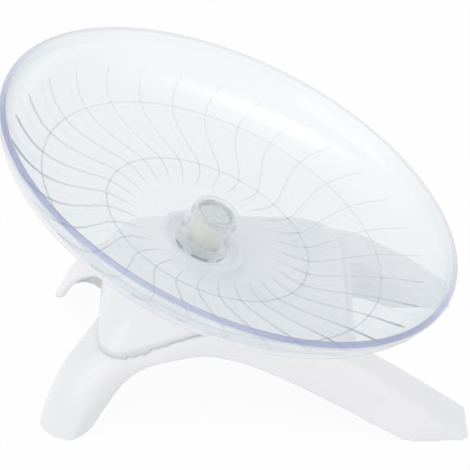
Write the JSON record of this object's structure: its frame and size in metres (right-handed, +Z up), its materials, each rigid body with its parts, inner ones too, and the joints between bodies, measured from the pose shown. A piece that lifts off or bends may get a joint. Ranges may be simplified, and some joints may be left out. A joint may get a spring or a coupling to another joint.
{
  "type": "exercise wheel",
  "caption": "Tilted saucer exercise wheel for small pets: a clear swirl-ribbed dish that spins on a bearing in its hub, over a white stand with four legs.",
  "frame": {"origin": "on the floor, under the middle of the part's box", "axes": "+Z up, +X towards the low side of the dish, Y = 0 is the stand's mirror plane"},
  "size_m": [0.1692, 0.1796, 0.1186],
  "materials": {
    "white_plastic": "glossy",
    "clear_plastic": "clear, polished",
    "pin_steel": "ground",
    "bearing_steel": "polished",
    "cage_steel": "pressed",
    "shield_steel": "pressed",
    "screw_steel": "zinc plated"
  },
  "bodies": {
    "stand": {"stand_legs": "white_plastic", "stand_saddle": "white_plastic", "saddle_screw_left_front": "screw_steel", "saddle_screw_left_back": "screw_steel", "saddle_screw_right_front": "screw_steel", "saddle_screw_right_back": "screw_steel", "pivot_pin": "pin_steel"},
    "bearing_core": {"bearing_inner_race": "bearing_steel"},
    "bearing_rollers": {"bearing_cage": "cage_steel", "bearing_ball_1": "bearing_steel", "bearing_ball_2": "bearing_steel", "bearing_ball_3": "bearing_steel", "bearing_ball_4": "bearing_steel", "bearing_ball_5": "bearing_steel", "bearing_ball_6": "bearing_steel", "bearing_ball_7": "bearing_steel"},
    "dish": {"running_dish": "clear_plastic", "hub_cap": "clear_plastic", "bearing_outer_race": "bearing_steel", "bearing_shield_upper": "shield_steel", "bearing_shield_lower": "shield_steel"}
  },
  "joints": [
    {"name": "dish_lift", "type": "slide", "parent": "stand", "child": "bearing_core", "axis": [0.3907, 0, 0.9205], "range_m": [0, 0.02]},
    {"name": "dish_spin", "type": "hinge", "parent": "bearing_core", "child": "dish", "pos_m": [-0.01209, 0, 0.05748], "axis": [0.3907, 0, 0.9205], "continuous": true},
    {"name": "cage_spin", "type": "hinge", "parent": "bearing_core", "child": "bearing_rollers", "pos_m": [-0.01209, 0, 0.05748], "axis": [0.3907, 0, 0.9205], "continuous": true}
  ],
  "couplings": [
    {"joint": "cage_spin", "follows": "dish_spin", "ratio": 0.6253}
  ]
}
